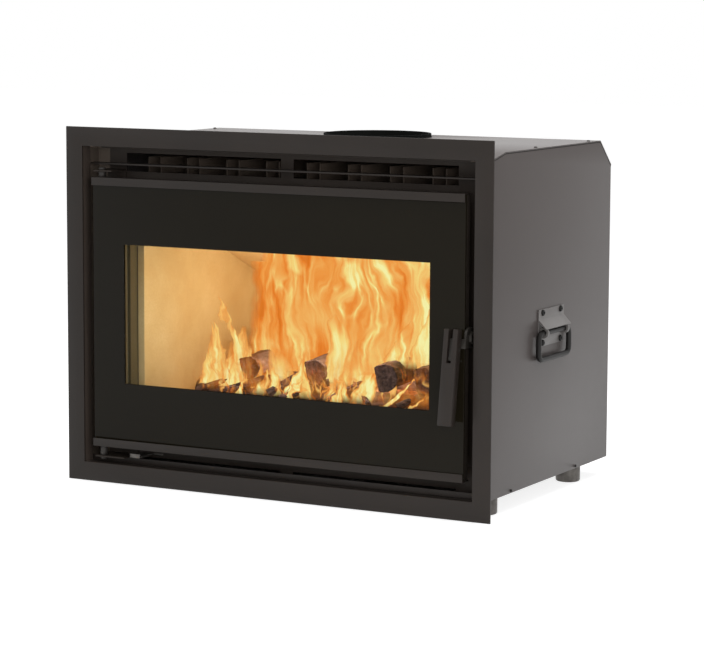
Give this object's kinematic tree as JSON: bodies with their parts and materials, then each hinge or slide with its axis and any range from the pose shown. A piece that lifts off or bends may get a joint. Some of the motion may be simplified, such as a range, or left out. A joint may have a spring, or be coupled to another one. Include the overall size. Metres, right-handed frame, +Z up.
{
  "type": "wood-burning fireplace insert",
  "caption": "Built-in steel fireplace with a flat surround frame, a side-hung glass door, a lined fire chamber, a top flue collar and folding side carry handles.",
  "frame": {"origin": "on the floor under the feet, at the middle of the width and of the whole depth", "axes": "+X to the right seen from the front, +Y into the wall, +Z up"},
  "size_m": [0.8, 0.5559, 0.606],
  "materials": {
    "trim_paint": "dark brown-grey matt stove paint",
    "casing_paint": "grey metallic stove paint on sheet steel",
    "dark_steel": "dark stove paint on plate steel",
    "black_paint": "black stove paint",
    "grey_steel": "bare zinc-plated steel",
    "cast_iron": "bare cast iron",
    "lining_board": "pale cream refractory board",
    "charred_wood": "charred split firewood",
    "ceramic_rope": "braided ceramic fibre rope and tape",
    "black_glass": "clear ceramic glass with a printed dark border"
  },
  "bodies": {
    "insert": {"surround_frame": "trim_paint", "upper_louver_bar": "trim_paint", "lower_louver_bar": "trim_paint", "side_panel_right": "casing_paint", "side_panel_left": "casing_paint", "top_panel": "casing_paint", "back_panel": "casing_paint", "base_panel": "casing_paint", "carry_bracket_right": "casing_paint", "carry_bracket_left": "casing_paint", "front_plate": "dark_steel", "inlet_plate": "dark_steel", "firebox_shell": "dark_steel", "ash_well": "dark_steel", "door_seat_frame": "dark_steel", "air_wash_channel": "dark_steel", "heat_fins": "dark_steel", "air_box": "dark_steel", "support_rail_right": "dark_steel", "support_rail_left": "dark_steel", "hinge_bracket_top": "dark_steel", "hinge_bracket_bottom": "dark_steel", "flue_collar": "black_paint", "foot_front_left": "grey_steel", "foot_front_right": "grey_steel", "foot_rear_left": "grey_steel", "foot_rear_right": "grey_steel", "ash_pan": "grey_steel", "latch_keeper": "grey_steel", "hinge_pin_top": "grey_steel", "hinge_pin_bottom": "grey_steel", "log_guard": "cast_iron", "grate": "cast_iron", "lining_right": "lining_board", "lining_left": "lining_board", "lining_back": "lining_board", "lining_floor": "lining_board", "baffle_board": "lining_board", "log_front": "charred_wood", "log_rear": "charred_wood", "log_cross_left": "charred_wood", "log_cross_centre": "charred_wood", "log_cross_right": "charred_wood", "log_cross_far_right": "charred_wood"},
    "door": {"door_glass": "black_glass", "door_frame": "black_paint", "glass_gasket": "ceramic_rope", "door_rope_seal": "ceramic_rope", "door_top_strip": "trim_paint", "door_bottom_strip": "trim_paint", "hinge_bush_top": "grey_steel", "hinge_bush_bottom": "grey_steel", "latch_bush": "grey_steel"},
    "handle": {"handle_grip": "trim_paint", "handle_pin": "grey_steel", "latch_arm": "grey_steel", "latch_shaft": "grey_steel"},
    "air_slide": {"air_slide": "grey_steel"},
    "bail_right": {"carry_bail_right": "black_paint"},
    "bail_left": {"carry_bail_left": "black_paint"}
  },
  "joints": [
    {"name": "door_swing", "type": "hinge", "parent": "insert", "child": "door", "pos_m": [-0.338, -0.21995, 0.29225], "axis": [0, 0, -1], "range_deg": [0, 100]},
    {"name": "handle_turn", "type": "hinge", "parent": "door", "child": "handle", "pos_m": [0.35, -0.21995, 0.294], "axis": [-1, 0, 0], "range_deg": [0, 22]},
    {"name": "air_slide_travel", "type": "slide", "parent": "insert", "child": "air_slide", "axis": [1, 0, 0], "range_m": [0, 0.02]},
    {"name": "bail_right_swing", "type": "hinge", "parent": "insert", "child": "bail_right", "pos_m": [0.3874, 0.02956, 0.28], "axis": [0, -1, 0], "range_deg": [0, 95]},
    {"name": "bail_left_swing", "type": "hinge", "parent": "insert", "child": "bail_left", "pos_m": [-0.3874, 0.02956, 0.28], "axis": [0, 1, 0], "range_deg": [0, 95]}
  ]
}
